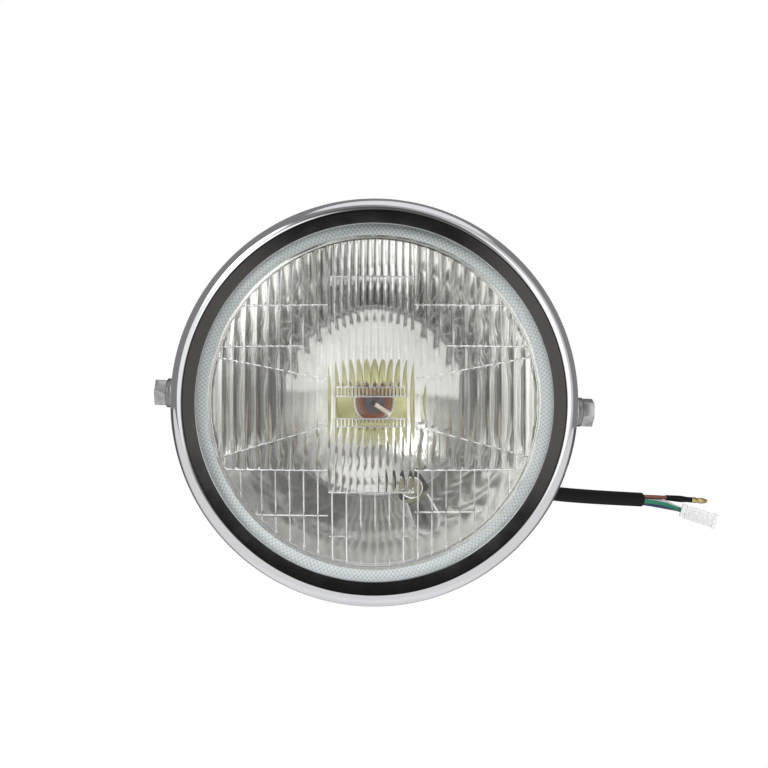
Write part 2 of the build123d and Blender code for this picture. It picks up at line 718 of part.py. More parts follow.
def headlight_shell():
    """Pressed bucket: straight skirt, tapered side, rounded back, flat pads for the side bolts."""
    inner_back = SHELL_BEHIND - SHELL_WALL
    slant = SHELL_WALL / cos(taper)
    inner_start = shell_straight - (slant - SHELL_WALL) / tan(taper)
    bowl = turned(
        (shell_r, shell_front), (shell_r, shell_straight, SHELL_SWELL),
        (wall_radius(SHELL_BEHIND), SHELL_BEHIND, SHELL_CORNER),
        (0, SHELL_BEHIND), (0, inner_back),
        (wall_radius(inner_back) - slant, inner_back, SHELL_CORNER - SHELL_WALL),
        (shell_bore, inner_start, SHELL_SWELL - SHELL_WALL), (shell_bore, shell_front),
    )
    bore = rod((-pad_x, 0, 0), (pad_x, 0, 0), BOLT_R + BOLT_PLAY)
    pads = rod((-pad_x, 0, 0), (pad_x, 0, 0), PAD_R) - rod((0, -PAD_R, 0), (0, PAD_R, 0), shell_bore)
    hole = rod(grommet_inside - grommet_out, grommet_point + grommet_out, GROMMET_NECK_R + FIT)
    return bowl + pads - bore - hole - screw_hole(shell_r)


def shell_grommet():
    """Rubber ring in the shell's side, round the lead."""
    outside = grommet_point + grommet_out * GROMMET_FLANGE
    inside = grommet_inside - grommet_out * GROMMET_FLANGE
    ring = rod(inside, outside, GROMMET_NECK_R)
    ring += rod(grommet_point, outside, GROMMET_FLANGE_R)
    ring += rod(inside, grommet_inside, GROMMET_FLANGE_R)
    return ring - rod(inside - grommet_out, outside + grommet_out, SLEEVE_R + FIT)


def both_sides(make):
    """A left and a right piece from a maker that takes the side, -1 or 1."""
    return Compound(children=[make(side) for side in (-1, 1)])


def across(side, near, far, radius):
    """Round bar along the bolts' line on one side."""
    return rod((side * near, 0, 0), (side * far, 0, 0), radius)


def hexagon(side, near, far, flats, spin):
    """Six-sided bar along the bolts' line on one side."""
    plane = Plane(origin=(side * near, 0, 0), x_dir=(0, 1, 0), z_dir=(side, 0, 0))
    return extrude(plane * RegularPolygon(flats / 2, 6, major_radius=False, rotation=spin), far - near)


collar_end = pad_x + SIDE_COLLAR
washer_end = collar_end + WASHER
head_seat = washer_end + SPRING_WASHER


def bolt_ring(side, near, far, radius):
    """Ring round a side bolt."""
    return across(side, near, far, radius) - across(side, near, far, BOLT_R + BOLT_PLAY)


def side_collar(side):
    """Spacer between the shell's pad and the fork."""
    return bolt_ring(side, pad_x, collar_end, SIDE_COLLAR_R)


def side_washer(side):
    """Plain washer."""
    return bolt_ring(side, collar_end, washer_end, WASHER_R)


def spring_washer(side):
    """Split washer under the bolt's head."""
    slit = Box(2 * SPRING_WASHER, SPRING_WASHER_SLIT, 2 * SPRING_WASHER_R)
    slit_place = Pos(side * (washer_end + head_seat) / 2, 0, -SPRING_WASHER_R)
    return bolt_ring(side, washer_end, head_seat, SPRING_WASHER_R) - slit_place * slit


def side_bolt(side):
    """Hexagon bolt."""
    spin = RIGHT_BOLT_SPIN if side > 0 else LEFT_BOLT_SPIN
    head = hexagon(side, head_seat, head_seat + BOLT_HEAD, BOLT_HEAD_FLATS, spin)
    return head + across(side, head_seat - BOLT_LENGTH, head_seat, BOLT_R)


def weld_nut(side):
    """Nut welded inside the shell behind the pad."""
    face = sqrt(shell_bore**2 - weld_nut_corner**2)
    nut = hexagon(side, face - WELD_NUT, face, WELD_NUT_FLATS, 0)
    return nut - across(side, face - WELD_NUT, face, BOLT_R + THREAD_PLAY)


PARTS = {
    "headlight_shell": headlight_shell(),
    "front_rim": front_rim(),
    "lens": lens(),
    "lens_gasket": lens_gasket(),
    "reflector": reflector(),
    "rim_clips": rim_clips(),
    "rim_hook": rim_hook(),
    "rim_screw": rim_screw(),
    "rim_nut": rim_nut(),
    "bulb_collar": bulb_collar(),
    "bulb_base": bulb_base(),
    "bulb_glass": bulb_glass(),
    "bulb_filament": bulb_filament(),
    "bulb_cement": bulb_cement(),
    "bulb_insulator": bulb_insulator(),
    "bulb_blades": bulb_blades(),
    "bulb_clip": bulb_clip(),
    "bulb_boot": bulb_boot(),
    "bulb_socket": bulb_socket(),
    "bulb_leads": bulb_leads(),
    "pilot_holder": pilot_holder(),
    "pilot_base": pilot_base(),
    "pilot_bulb": pilot_bulb(),
    "pilot_lead": pilot_lead(),
    "side_collars": both_sides(side_collar),
    "side_washers": both_sides(side_washer),
    "side_spring_washers": both_sides(spring_washer),
    "side_bolts": both_sides(side_bolt),
    "weld_nuts": both_sides(weld_nut),
    "shell_grommet": shell_grommet(),
    "harness_sleeve": harness_sleeve(),
    "brown_wire": wire((1, 1), brown_route),
    "green_wire": wire((1, -1), green_route),
    "blue_wire": wire((-1, -1), blue_route),
    "white_wire": wire((-1, 1), white_route),
    "bullet_sleeve": bullet_sleeve(),
    "bullet_terminal": bullet_terminal(),
    "connector_housing": connector_housing(),
    "connector_terminals": connector_terminals(),
}

os.makedirs("parts", exist_ok=True)
for name, shape in PARTS.items():
    export_step(shape, f"parts/{name}.step")
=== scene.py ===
from math import acos, cos, pi, radians, sin, sqrt, tan

import bpy
from mathutils import Matrix, Vector


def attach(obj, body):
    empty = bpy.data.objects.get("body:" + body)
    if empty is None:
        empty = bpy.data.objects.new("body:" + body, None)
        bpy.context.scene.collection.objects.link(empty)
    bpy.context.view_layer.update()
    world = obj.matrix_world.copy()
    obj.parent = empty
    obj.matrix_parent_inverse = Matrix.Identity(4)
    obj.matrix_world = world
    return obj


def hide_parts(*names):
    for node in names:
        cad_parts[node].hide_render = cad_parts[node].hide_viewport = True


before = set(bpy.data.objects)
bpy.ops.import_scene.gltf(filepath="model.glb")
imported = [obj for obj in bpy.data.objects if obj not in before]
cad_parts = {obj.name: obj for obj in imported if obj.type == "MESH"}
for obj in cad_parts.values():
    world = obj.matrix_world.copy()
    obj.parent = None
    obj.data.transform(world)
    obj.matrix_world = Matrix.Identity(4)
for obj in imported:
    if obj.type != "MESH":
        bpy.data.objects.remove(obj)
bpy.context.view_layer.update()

bpy.ops.object.select_all(action="DESELECT")

# Headlight shell: a bucket pressed from steel sheet and painted gloss black. A flat pad on each side takes a
# bolt, and the lead leaves through a hole low in the right side. The paint has a faint orange-peel skin.
SEAM = 2e-6  # points closer together than this, in metres, are merged
FLAT = radians(0.4)  # faces that differ by less are joined


def coating(name, colour, metallic, roughness, **sockets):
    """Material whose plain values sit on the shader's own sockets."""
    made = bpy.data.materials.new(name)
    made.use_nodes = True
    shader = made.node_tree.nodes["Principled BSDF"]
    shader.inputs["Base Color"].default_value = (*colour, 1)
    shader.inputs["Metallic"].default_value = metallic
    shader.inputs["Roughness"].default_value = roughness
    for socket, value in sockets.items():
        shader.inputs[socket.replace("_", " ")].default_value = value
    return made


def clouds(made, scale, detail):
    """Noise that stays with the piece, for a coating's unevenness."""
    nodes = made.node_tree.nodes
    place = nodes.new("ShaderNodeTexCoord")
    noise = nodes.new("ShaderNodeTexNoise")
    noise.inputs["Scale"].default_value = scale
    noise.inputs["Detail"].default_value = detail
    made.node_tree.links.new(place.outputs["Object"], noise.inputs["Vector"])
    return noise


def uneven(made, low, high, scale, detail=3):
    """Roughness that wanders between two values."""
    spread = made.node_tree.nodes.new("ShaderNodeMapRange")
    spread.inputs["To Min"].default_value = low
    spread.inputs["To Max"].default_value = high
    links = made.node_tree.links
    links.new(clouds(made, scale, detail).outputs["Fac"], spread.inputs["Value"])
    links.new(spread.outputs["Result"], made.node_tree.nodes["Principled BSDF"].inputs["Roughness"])


def grained(made, scale, depth, detail=2):
    """Fine relief in the surface, with its depth in metres."""
    bump = made.node_tree.nodes.new("ShaderNodeBump")
    bump.inputs["Distance"].default_value = depth
    bump.inputs["Strength"].default_value = 1.0
    links = made.node_tree.links
    links.new(clouds(made, scale, detail).outputs["Fac"], bump.inputs["Height"])
    links.new(bump.outputs["Normal"], made.node_tree.nodes["Principled BSDF"].inputs["Normal"])


def only(piece):
    """Selects one piece and makes it the active one."""
    bpy.ops.object.select_all(action="DESELECT")
    piece.select_set(True)
    bpy.context.view_layer.objects.active = piece


def fitted(piece, made, slot, *nodes):
    """Coats a finished piece, hangs it on the lamp and lets it stand for its CAD nodes."""
    piece.data.materials.clear()
    piece.data.materials.append(made)
    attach(piece, "root")
    if nodes:
        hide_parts(*nodes)
    return piece


def dressed(node, made, slot, edge=0.0, crease=30):
    """Finished copy of a CAD piece: seams merged, sharp edges eased, round faces smooth."""
    piece = bpy.data.objects.new(node + "_finished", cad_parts[node].data.copy())
    bpy.context.scene.collection.objects.link(piece)
    only(piece)
    bpy.ops.mesh.customdata_custom_splitnormals_clear()
    bpy.ops.object.mode_set(mode="EDIT")
    bpy.ops.mesh.select_all(action="SELECT")
    bpy.ops.mesh.remove_doubles(threshold=SEAM)
    bpy.ops.mesh.dissolve_limited(angle_limit=FLAT)
    bpy.ops.object.mode_set(mode="OBJECT")
    if edge:
        eased = piece.modifiers.new("eased edges", "BEVEL")
        eased.width = edge
        eased.segments = 3
        eased.limit_method = "ANGLE"
        eased.angle_limit = radians(crease)
        bpy.ops.object.modifier_apply(modifier=eased.name)
    bpy.ops.object.shade_smooth_by_angle(angle=radians(crease))
    return fitted(piece, made, slot, node)


black_paint = coating(
    "gloss_black_paint", colour=(0.016, 0.016, 0.018), metallic=0.0, roughness=0.3,
    Coat_Weight=0.6, Coat_Roughness=0.08,
)
uneven(black_paint, low=0.22, high=0.36, scale=90)
grained(black_paint, scale=900, depth=0.00002)
dressed("headlight_shell", black_paint, "black_paint")

# Side bolts with their collars, plain washers and split washers: zinc-plated steel, turned and pressed. The
# nuts inside are welded to the shell behind its pads.


def mottled(made, dark, light, scale, detail=3):
    """Colour that wanders between two shades."""
    ramp = made.node_tree.nodes.new("ShaderNodeValToRGB")
    ramp.color_ramp.elements[0].position = 0.35
    ramp.color_ramp.elements[1].position = 0.65
    ramp.color_ramp.elements[0].color = (*dark, 1)
    ramp.color_ramp.elements[1].color = (*light, 1)
    links = made.node_tree.links
    links.new(clouds(made, scale, detail).outputs["Fac"], ramp.inputs["Fac"])
    links.new(ramp.outputs["Color"], made.node_tree.nodes["Principled BSDF"].inputs["Base Color"])


def coated(made, *nodes):
    """Gives CAD pieces that stay as they are their coating."""
    for node in nodes:
        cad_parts[node].data.materials.clear()
        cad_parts[node].data.materials.append(made)


zinc = coating("bright_zinc", colour=(0.46, 0.46, 0.45), metallic=1.0, roughness=0.3)
uneven(zinc, low=0.22, high=0.42, scale=400)
mottled(zinc, dark=(0.38, 0.38, 0.37), light=(0.56, 0.56, 0.55), scale=260)
grained(zinc, scale=1500, depth=0.00001)
spring_steel = coating("spring_steel", colour=(0.3, 0.3, 0.3), metallic=1.0, roughness=0.35)
uneven(spring_steel, low=0.28, high=0.48, scale=500)
grained(spring_steel, scale=1800, depth=0.00001)
dressed("side_collars", zinc, "zinc", edge=0.0003)
dressed("side_washers", zinc, "zinc", edge=0.00025)
dressed("side_spring_washers", spring_steel, "spring_steel", edge=0.00025)
dressed("side_bolts", zinc, "zinc", edge=0.0004)
coated(zinc, "weld_nuts")

# Reflector: a steel dish pressed to a parabola, lacquered and coated with bright aluminium in vacuum. A
# flange in front carries the glass, and a flanged neck behind takes the bulb.
MM = 0.001
DISH_VERTEX = 10.77
DISH_FOCAL = 26.702
DISH_R = 74.0
DISH_BACK_R = 74.7
DISH_WALL = 1.0  # along the axis
DISH_POINTS = 64
DISH_BACK_POINTS = 24
FLANGE_R = 80.0
FLANGE_FRONT = -40.5
FLANGE_BACK = -39.7
NECK_R = 21.0
NECK_WALL = 0.8
SEAT_R = 27.0  # the neck's own flange, where the bulb's collar sits
SEAT_FRONT = 12.24
SEAT_BACK = 13.04


def turned(name, points, steps, closed=True):
    """Piece spun about the lamp's axis from (radius, y) points in mm, a ring where the outline is closed."""
    bpy.ops.object.select_all(action="DESELECT")
    bpy.ops.mesh.primitive_plane_add(size=MM, location=(0, 0, 0))
    piece = bpy.context.object
    piece.name = name
    bpy.ops.object.mode_set(mode="EDIT")
    bpy.ops.mesh.select_mode(type="VERT")
    bpy.ops.mesh.merge(type="CENTER")
    here = Vector((0, 0, 0))
    for radius, y in points:
        there = Vector((radius * MM, y * MM, 0))
        if here.length == 0:
            bpy.ops.transform.translate(value=there)
        else:
            bpy.ops.mesh.extrude_vertices_move(TRANSFORM_OT_translate={"value": there - here})
        here = there
    if closed:
        bpy.ops.mesh.select_all(action="DESELECT")
        bpy.ops.object.mode_set(mode="OBJECT")
        piece.data.vertices[0].select = True
        piece.data.vertices[len(points) - 1].select = True
        bpy.ops.object.mode_set(mode="EDIT")
        bpy.ops.mesh.edge_face_add()
    bpy.ops.mesh.select_all(action="SELECT")
    bpy.ops.mesh.spin(steps=steps, angle=2 * pi, center=(0, 0, 0), axis=(0, 1, 0))
    bpy.ops.mesh.select_all(action="SELECT")
    bpy.ops.mesh.remove_doubles(threshold=SEAM)
    bpy.ops.mesh.normals_make_consistent(inside=False)
    bpy.ops.object.mode_set(mode="OBJECT")
    bpy.ops.object.shade_smooth_by_angle(angle=radians(30))
    return piece


def dish(radius, shift=0.0):
    """Point on the dish at a radius."""
    return (radius, DISH_VERTEX - radius**2 / (4 * DISH_FOCAL) + shift)


def rippled(made, pitch, depth):
    """Faint rings that pressing leaves round the axis, over the relief already there, in metres."""
    nodes, links = made.node_tree.nodes, made.node_tree.links
    place = nodes.new("ShaderNodeTexCoord")
    rings = nodes.new("ShaderNodeTexWave")
    rings.wave_type = "RINGS"
    rings.rings_direction = "Y"
    rings.inputs["Scale"].default_value = 2 * pi / (20 * pitch)  # at scale 1 a ring is 2 pi / 20 wide
    rings.inputs["Distortion"].default_value = 1.2
    bump = nodes.new("ShaderNodeBump")
    bump.inputs["Distance"].default_value = depth
    shader = nodes["Principled BSDF"]
    links.new(place.outputs["Object"], rings.inputs["Vector"])
    links.new(rings.outputs["Fac"], bump.inputs["Height"])
    links.new(shader.inputs["Normal"].links[0].from_socket, bump.inputs["Normal"])
    links.new(bump.outputs["Normal"], shader.inputs["Normal"])


mirror = coating("vacuum_aluminium", colour=(0.965, 0.97, 0.965), metallic=1.0, roughness=0.075)
uneven(mirror, low=0.06, high=0.09, scale=60)
grained(mirror, scale=110, depth=0.000015)
rippled(mirror, pitch=0.009, depth=0.00006)
front_face = [dish(NECK_R + (DISH_R - NECK_R) * i / DISH_POINTS) for i in range(DISH_POINTS + 1)]
back_depth = DISH_BACK_R - NECK_R - NECK_WALL
back_face = [
    dish(DISH_BACK_R - back_depth * i / DISH_BACK_POINTS, DISH_WALL) for i in range(DISH_BACK_POINTS + 1)
]
flange = [(FLANGE_R, FLANGE_FRONT), (FLANGE_R, FLANGE_BACK)]
seat = [(NECK_R + NECK_WALL, SEAT_FRONT), (SEAT_R, SEAT_FRONT), (SEAT_R, SEAT_BACK), (NECK_R, SEAT_BACK)]
reflector = turned("reflector_dish", front_face + flange + back_face + seat, steps=192)
fitted(reflector, mirror, "mirror", "reflector")

# Main bulb: a clear glass tube cemented into a flanged base of yellow-passivated steel, on a seating collar
# and held by a spring clip. The coil stands across the axis on two posts.
TUBE_R = 9.5
TUBE_WALL = 0.3
TUBE_TIP = -31.96
TUBE_FOOT = 8.04
TUBE_ROUNDING = 9.0
COIL_TURNS = 14
COIL_R = 0.85
COIL_WIRE_R = 0.28
COIL_LENGTH = 8.2
COIL_SLANT = radians(-31)
COIL_SHIFT = 0.6
COIL_DROP = -1.0
FOCUS_Y = -15.93  # where the dish gathers light
POST_R = 0.35
POST_LENGTH = 24


def rounded(corners):
    """Points of an outline in millimetres, with an arc at each corner that gives a rounding."""
    points = []
    for index, corner in enumerate(corners):
        here = Vector(corner[:2])
        if len(corner) < 3:
            points.append(here)
            continue
        to_last = (Vector(corners[index - 1][:2]) - here).normalized()
        to_next = (Vector(corners[(index + 1) % len(corners)][:2]) - here).normalized()
        half = acos(max(-1, min(1, to_last.dot(to_next)))) / 2
        middle = here + (to_last + to_next).normalized() * (corner[2] / sin(half))
        first = here + to_last * (corner[2] / tan(half)) - middle
        turn = first.angle_signed(here + to_next * (corner[2] / tan(half)) - middle)
        steps = max(4, round(abs(turn) / radians(4)))
        for step in range(steps + 1):
            swing = Matrix.Rotation(-turn * step / steps, 2)
            points.append(middle + swing @ first)
    return points


def blown(radius, wall, tip, foot, rounding):
    """Outline of a glass tube with a rounded tip, outside and then inside."""
    return rounded([
        (0.0, tip), (radius, tip, rounding), (radius, foot),
        (radius - wall, foot), (radius - wall, tip + wall, rounding - wall), (0.0, tip + wall),
    ])


def axis_radius(made):
    """Distance from the lamp's axis, in metres."""
    nodes, links = made.node_tree.nodes, made.node_tree.links
    place = nodes.new("ShaderNodeTexCoord")
    flat = nodes.new("ShaderNodeVectorMath")
    flat.operation = "MULTIPLY"
    flat.inputs[1].default_value = (1, 0, 1)
    length = nodes.new("ShaderNodeVectorMath")
    length.operation = "LENGTH"
    links.new(place.outputs["Object"], flat.inputs[0])
    links.new(flat.outputs["Vector"], length.inputs[0])
    return length.outputs["Value"]


def ringed(made, middle, edge, start, end):
    """Colour that goes over from the middle's to the edge's between two radii, in metres."""
    nodes, links = made.node_tree.nodes, made.node_tree.links
    outward = nodes.new("ShaderNodeMapRange")
    outward.inputs["From Min"].default_value = start
    outward.inputs["From Max"].default_value = end
    blend = nodes.new("ShaderNodeMixRGB")
    blend.inputs["Color1"].default_value = (*middle, 1)
    blend.inputs["Color2"].default_value = (*edge, 1)
    links.new(axis_radius(made), outward.inputs["Value"])
    links.new(outward.outputs["Result"], blend.inputs["Fac"])
    links.new(blend.outputs["Color"], nodes["Principled BSDF"].inputs["Base Color"])


yellow_zinc = coating("yellow_zinc", colour=(0.72, 0.7, 0.4), metallic=1.0, roughness=0.32)
uneven(yellow_zinc, low=0.22, high=0.42, scale=300)
mottled(yellow_zinc, dark=(0.64, 0.63, 0.32), light=(0.8, 0.77, 0.48), scale=120)
dressed("bulb_collar", yellow_zinc, "yellow_zinc", edge=0.0002)
dressed("bulb_base", yellow_zinc, "yellow_zinc", edge=0.0003)
coated(spring_steel, "bulb_clip")

clear_glass = coating(
    "blown_glass", colour=(0.98, 0.97, 0.95), metallic=0.0, roughness=0.0, Transmission_Weight=1.0, IOR=1.47
)
grained(clear_glass, scale=120, depth=0.00001)
tube_outline = blown(TUBE_R, TUBE_WALL, TUBE_TIP, TUBE_FOOT, TUBE_ROUNDING)
tube = turned("bulb_tube", tube_outline, steps=96, closed=False)
fitted(tube, clear_glass, "clear_glass", "bulb_glass")
tube.visible_shadow = False  # lamplight goes through clear glass

brown_cement = coating("brown_cement", colour=(0.06, 0.03, 0.02), metallic=0.0, roughness=0.5)
# dark grey in the middle and reddish brown towards the edge: brown cement, with a painted reflection of the
# yellow base inside the tube at the edge
ringed(brown_cement, middle=(0.09, 0.085, 0.09), edge=(0.5, 0.15, 0.07), start=0.0045, end=0.0085)
grained(brown_cement, scale=900, depth=0.00005)
dressed("bulb_cement", brown_cement, "brown_cement")

# the coil and its posts are pale cream, a painted highlight: bare tungsten is grey
painted_pale_filament = coating("filament_wire", colour=(0.9, 0.82, 0.64), metallic=0.0, roughness=0.45)
mottled(painted_pale_filament, dark=(0.9, 0.82, 0.64), light=(0.98, 0.93, 0.8), scale=900)
grained(painted_pale_filament, scale=6000, depth=0.00001)
bpy.ops.object.select_all(action="DESELECT")
bpy.ops.mesh.primitive_circle_add(
    vertices=8, radius=COIL_WIRE_R * MM, location=(COIL_R * MM, 0, 0), rotation=(pi / 2, 0, 0)
)
coil = bpy.context.object
coil.name = "bulb_coil"
bpy.ops.object.transform_apply(location=True, rotation=True, scale=True)
wound = coil.modifiers.new("wound", "SCREW")
wound.axis = "Z"
wound.angle = 2 * pi
wound.screw_offset = COIL_LENGTH / COIL_TURNS * MM
wound.iterations = COIL_TURNS
wound.steps = wound.render_steps = 16
bpy.ops.object.modifier_apply(modifier=wound.name)
bpy.ops.object.mode_set(mode="EDIT")
bpy.ops.mesh.select_all(action="SELECT")
bpy.ops.mesh.remove_doubles(threshold=SEAM)
bpy.ops.mesh.fill_holes(sides=0)
bpy.ops.mesh.normals_make_consistent(inside=False)
bpy.ops.object.mode_set(mode="OBJECT")
coil.rotation_euler = (0, pi / 2 - COIL_SLANT, 0)
coil.location = (COIL_SHIFT * MM, FOCUS_Y * MM, COIL_DROP * MM)
bpy.ops.object.transform_apply(location=True, rotation=True, scale=True)
bpy.ops.object.shade_smooth()
fitted(coil, painted_pale_filament, "filament", "bulb_filament")
for name, share in (("coil_post_near", 0.06), ("coil_post_far", 0.94)):
    reach = share * COIL_LENGTH
    bpy.ops.object.select_all(action="DESELECT")
    bpy.ops.mesh.primitive_cylinder_add(
        vertices=12, radius=POST_R * MM, depth=POST_LENGTH * MM, rotation=(pi / 2, 0, 0),
        location=(
            (COIL_SHIFT + reach * cos(COIL_SLANT)) * MM,
            (FOCUS_Y + POST_LENGTH / 2) * MM,
            (COIL_DROP + reach * sin(COIL_SLANT)) * MM,
        ),
    )
    post = bpy.context.object
    post.name = name
    bpy.ops.object.transform_apply(location=True, rotation=True, scale=True)
    bpy.ops.object.shade_smooth_by_angle(angle=radians(30))
    fitted(post, painted_pale_filament, "filament", "bulb_filament")

# Plug end behind the main bulb: a moulded insulator with three brass blades, pushed into a plastic socket
# under a rubber boot. Short vinyl leads come out of the socket. The shell hides all of it.
brass = coating("bare_brass", colour=(0.72, 0.56, 0.25), metallic=1.0, roughness=0.28)
uneven(brass, low=0.2, high=0.4, scale=500)
mottled(brass, dark=(0.6, 0.45, 0.18), light=(0.8, 0.64, 0.32), scale=350)
black_rubber = coating("black_rubber", colour=(0.018, 0.018, 0.018), metallic=0.0, roughness=0.7)
uneven(black_rubber, low=0.6, high=0.82, scale=300)
grained(black_rubber, scale=1200, depth=0.00003)
black_plastic = coating("moulded_black_plastic", colour=(0.022, 0.022, 0.022), metallic=0.0, roughness=0.5)
uneven(black_plastic, low=0.42, high=0.6, scale=250)
grained(black_plastic, scale=1500, depth=0.00002)
black_vinyl = coating(
    "black_vinyl", colour=(0.004, 0.004, 0.0045), metallic=0.0, roughness=0.42, Specular_IOR_Level=0.18
)
uneven(black_vinyl, low=0.34, high=0.52, scale=160)
grained(black_vinyl, scale=150, depth=0.0005)
coated(black_plastic, "bulb_insulator", "bulb_socket")
coated(brass, "bulb_blades")
coated(black_rubber, "bulb_boot")
coated(black_vinyl, "bulb_leads")

# Pilot bulb: a small clear globe on a brass base, in a rubber holder pushed through the dish from behind. A
# brown vinyl lead runs from the holder inside the shell.
UNIT_TURN = radians(-2.7)  # the lens unit sits a little turned in the rim
PILOT_X = 17.2
PILOT_Z = -39.0
PILOT_BASE_Y = -12.74
GLOBE_R = 5.2
GLOBE_WALL = 0.5
GLOBE_LENGTH = 14.0
GLOBE_ROUNDING = 5.0
dressed("pilot_holder", black_rubber, "black_rubber", edge=0.0003)
dull_brass = coating("dull_brass", colour=(0.38, 0.33, 0.19), metallic=1.0, roughness=0.36)
uneven(dull_brass, low=0.28, high=0.46, scale=500)
mottled(dull_brass, dark=(0.28, 0.24, 0.13), light=(0.48, 0.43, 0.26), scale=350)
dressed("pilot_base", dull_brass, "brass", edge=0.0003)
globe_outline = blown(GLOBE_R, GLOBE_WALL, PILOT_BASE_Y - GLOBE_LENGTH, PILOT_BASE_Y, GLOBE_ROUNDING)
globe = turned("pilot_globe", globe_outline, steps=64, closed=False)
only(globe)
globe.location = (PILOT_X * MM, 0, PILOT_Z * MM)
bpy.ops.object.transform_apply(location=True, rotation=True, scale=True)
globe.rotation_euler = (0, UNIT_TURN, 0)
bpy.ops.object.transform_apply(location=True, rotation=True, scale=True)
fitted(globe, clear_glass, "clear_glass", "pilot_bulb")
globe.visible_shadow = False
brown_vinyl = coating("brown_vinyl", colour=(0.16, 0.055, 0.04), metallic=0.0, roughness=0.4)
uneven(brown_vinyl, low=0.32, high=0.5, scale=300)
grained(brown_vinyl, scale=900, depth=0.00003)
coated(brown_vinyl, "pilot_lead")

# Lens: one piece of pressed glass with a smooth dome outside and upright flutes moulded inside, narrow in the
# middle and wide at the sides, where two panels flare out beside the bulb. Thin raised lines edge the fields
# and rule the clear foot. Grey sealant beds the glass on the reflector.
LENS_FRONT = -46.0
LENS_BACK = -42.05  # a hair ahead of the sealant
LENS_R = 80.0
DOME_R = 72.7
DOME_RISE = 11.0
DOME_SPHERE = 245.74
DOME_CENTRE = LENS_FRONT - DOME_RISE + DOME_SPHERE
DOME_RINGS = 24
GLASS_WALL = 3.5
INNER_SPHERE = DOME_SPHERE - GLASS_WALL
FLUTE_R = 71.9
CENTRE_LEFT = -20.1
CENTRE_RIGHT = 17.3
CENTRE_FLUTES = 12
SIDE_FLUTES = 10
CENTRE_PITCH = (CENTRE_RIGHT - CENTRE_LEFT) / CENTRE_FLUTES
BLOCKS = (  # (left, right, number of flutes)
    (-FLUTE_R, CENTRE_LEFT, SIDE_FLUTES),
    (CENTRE_LEFT, CENTRE_RIGHT, CENTRE_FLUTES),
    (CENTRE_RIGHT, FLUTE_R, SIDE_FLUTES),
)
MIDDLE_BLOCK = 1
FLUTE_STEPS = 12
FLUTE_DEPTH = 0.45
CENTRE_DEPTH = 0.35
PANEL_DEPTH = 0.35
RIB_DEPTH = 0.2  # of the fine ribs above and below the window
STEP = 0.14  # half the width of the wall between two blocks
BEAD = 0.3  # half the width of a raised line
EDGE_BEAD = 0.55  # heights of the lines round the fields, of the dashes between flutes and of the ruling
DASH_BEAD = 0.6
RULE_BEAD = 0.25
RULE_PITCH = 6.2
RULES = [-58.5, *(-49.3 + RULE_PITCH * k for k in range(17)), 59.2]  # places of the upright lines
RULE_GAP = 0.05  # least room between a ruled line and the next column of points
ZONE_ROWS = (8, 6, 8, 3, 6, 3, 8, 8, 8)  # rows of points in each zone, from the top down
PANEL_ZONES = (3, 4, 5)  # level with the bulb
WINDOW_ZONE = 4
CLEAR_ZONE = 7  # the zones from here down are plain glass with ruled lines
CENTRE_BORDERS = (54.8, 24.5, 6.6, 2.6, -7.0, -10.5, -39.0, -58.5)  # heights between the middle block's zones
ROW_ONE = 42.4  # heights of the two rows of dashes in the side blocks, and how far from the axis they run
ROW_ONE_END = 58
ROW_TWO = 24.5
ROW_TWO_START = 31
ROW_TWO_END = 68
PANEL_HALF = 10.0  # half a panel's height at its inner end, and what it gains above and below to the edge
PANEL_RISE = 10.5
PANEL_FALL = 15.0
SIDE_FOOT = -29.3  # where the flutes of the side blocks end
CROSS_LEFT = -49.2  # heights of the level line across the clear foot, and where it starts and ends
CROSS_RIGHT = -47.7
CROSS_START = -52
CROSS_END = 46.5
PLAIN_HALF = 9  # half the width of the plain patch in the clear foot, and its top and bottom
PLAIN_TOP = -54
PLAIN_FOOT = -69.5


def bead(distance, height):
    """Height of a raised line at a distance from its middle."""
    return height * max(0.0, 1 - (distance / BEAD) ** 2)


def column_places():
    """(x, block) of each column of points over the glass, closer together across each ruled line."""
    places = []
    for block, (left, right, count) in enumerate(BLOCKS):
        steps = count * FLUTE_STEPS
        inset = [STEP if abs(side) < FLUTE_R else 0.0 for side in (left, right)]
        xs = [left + (right - left) * i / steps for i in range(1, steps)]
        xs = [x for x in xs if min(abs(x - rule) for rule in RULES) > BEAD + RULE_GAP]
        xs += [rule + BEAD * k / 2 for rule in RULES if left < rule < right for k in range(-2, 3)]
        places += [(x, block) for x in [left + inset[0], *sorted(xs), right - inset[1]]]
    return places


def in_window(x):
    """Whether a column crosses the window in front of the bulb."""
    return CENTRE_LEFT + CENTRE_PITCH < x < CENTRE_RIGHT - CENTRE_PITCH


def fields(x, block):
    """Heights where the zones of a column meet, from the top down, and the raised line at each."""
    if block == MIDDLE_BLOCK:
        framed = EDGE_BEAD if in_window(x) else 0.0
        cross = RULE_BEAD if abs(x) > PLAIN_HALF else 0.0
        return CENTRE_BORDERS, (DASH_BEAD, 0.0, framed, framed, framed, framed, EDGE_BEAD, cross)
    beside = CENTRE_LEFT if x < 0 else CENTRE_RIGHT
    out = (abs(x) - abs(beside)) / (FLUTE_R - abs(beside))
    top = PANEL_HALF + PANEL_RISE * out
    foot = -PANEL_HALF - PANEL_FALL * out
    thirds = [top + (foot - top) * k / 3 for k in (1, 2)]
    cross_height = CROSS_LEFT if x < 0 else CROSS_RIGHT
    borders = (ROW_ONE, ROW_TWO, top, *thirds, foot, SIDE_FOOT, cross_height)
    first = DASH_BEAD if abs(x) < ROW_ONE_END else 0.0
    second = DASH_BEAD if ROW_TWO_START < abs(x) < ROW_TWO_END else 0.0
    cross = RULE_BEAD if CROSS_START < x < CROSS_END else 0.0
    return borders, (first, second, EDGE_BEAD, 0.0, 0.0, EDGE_BEAD, EDGE_BEAD, cross)


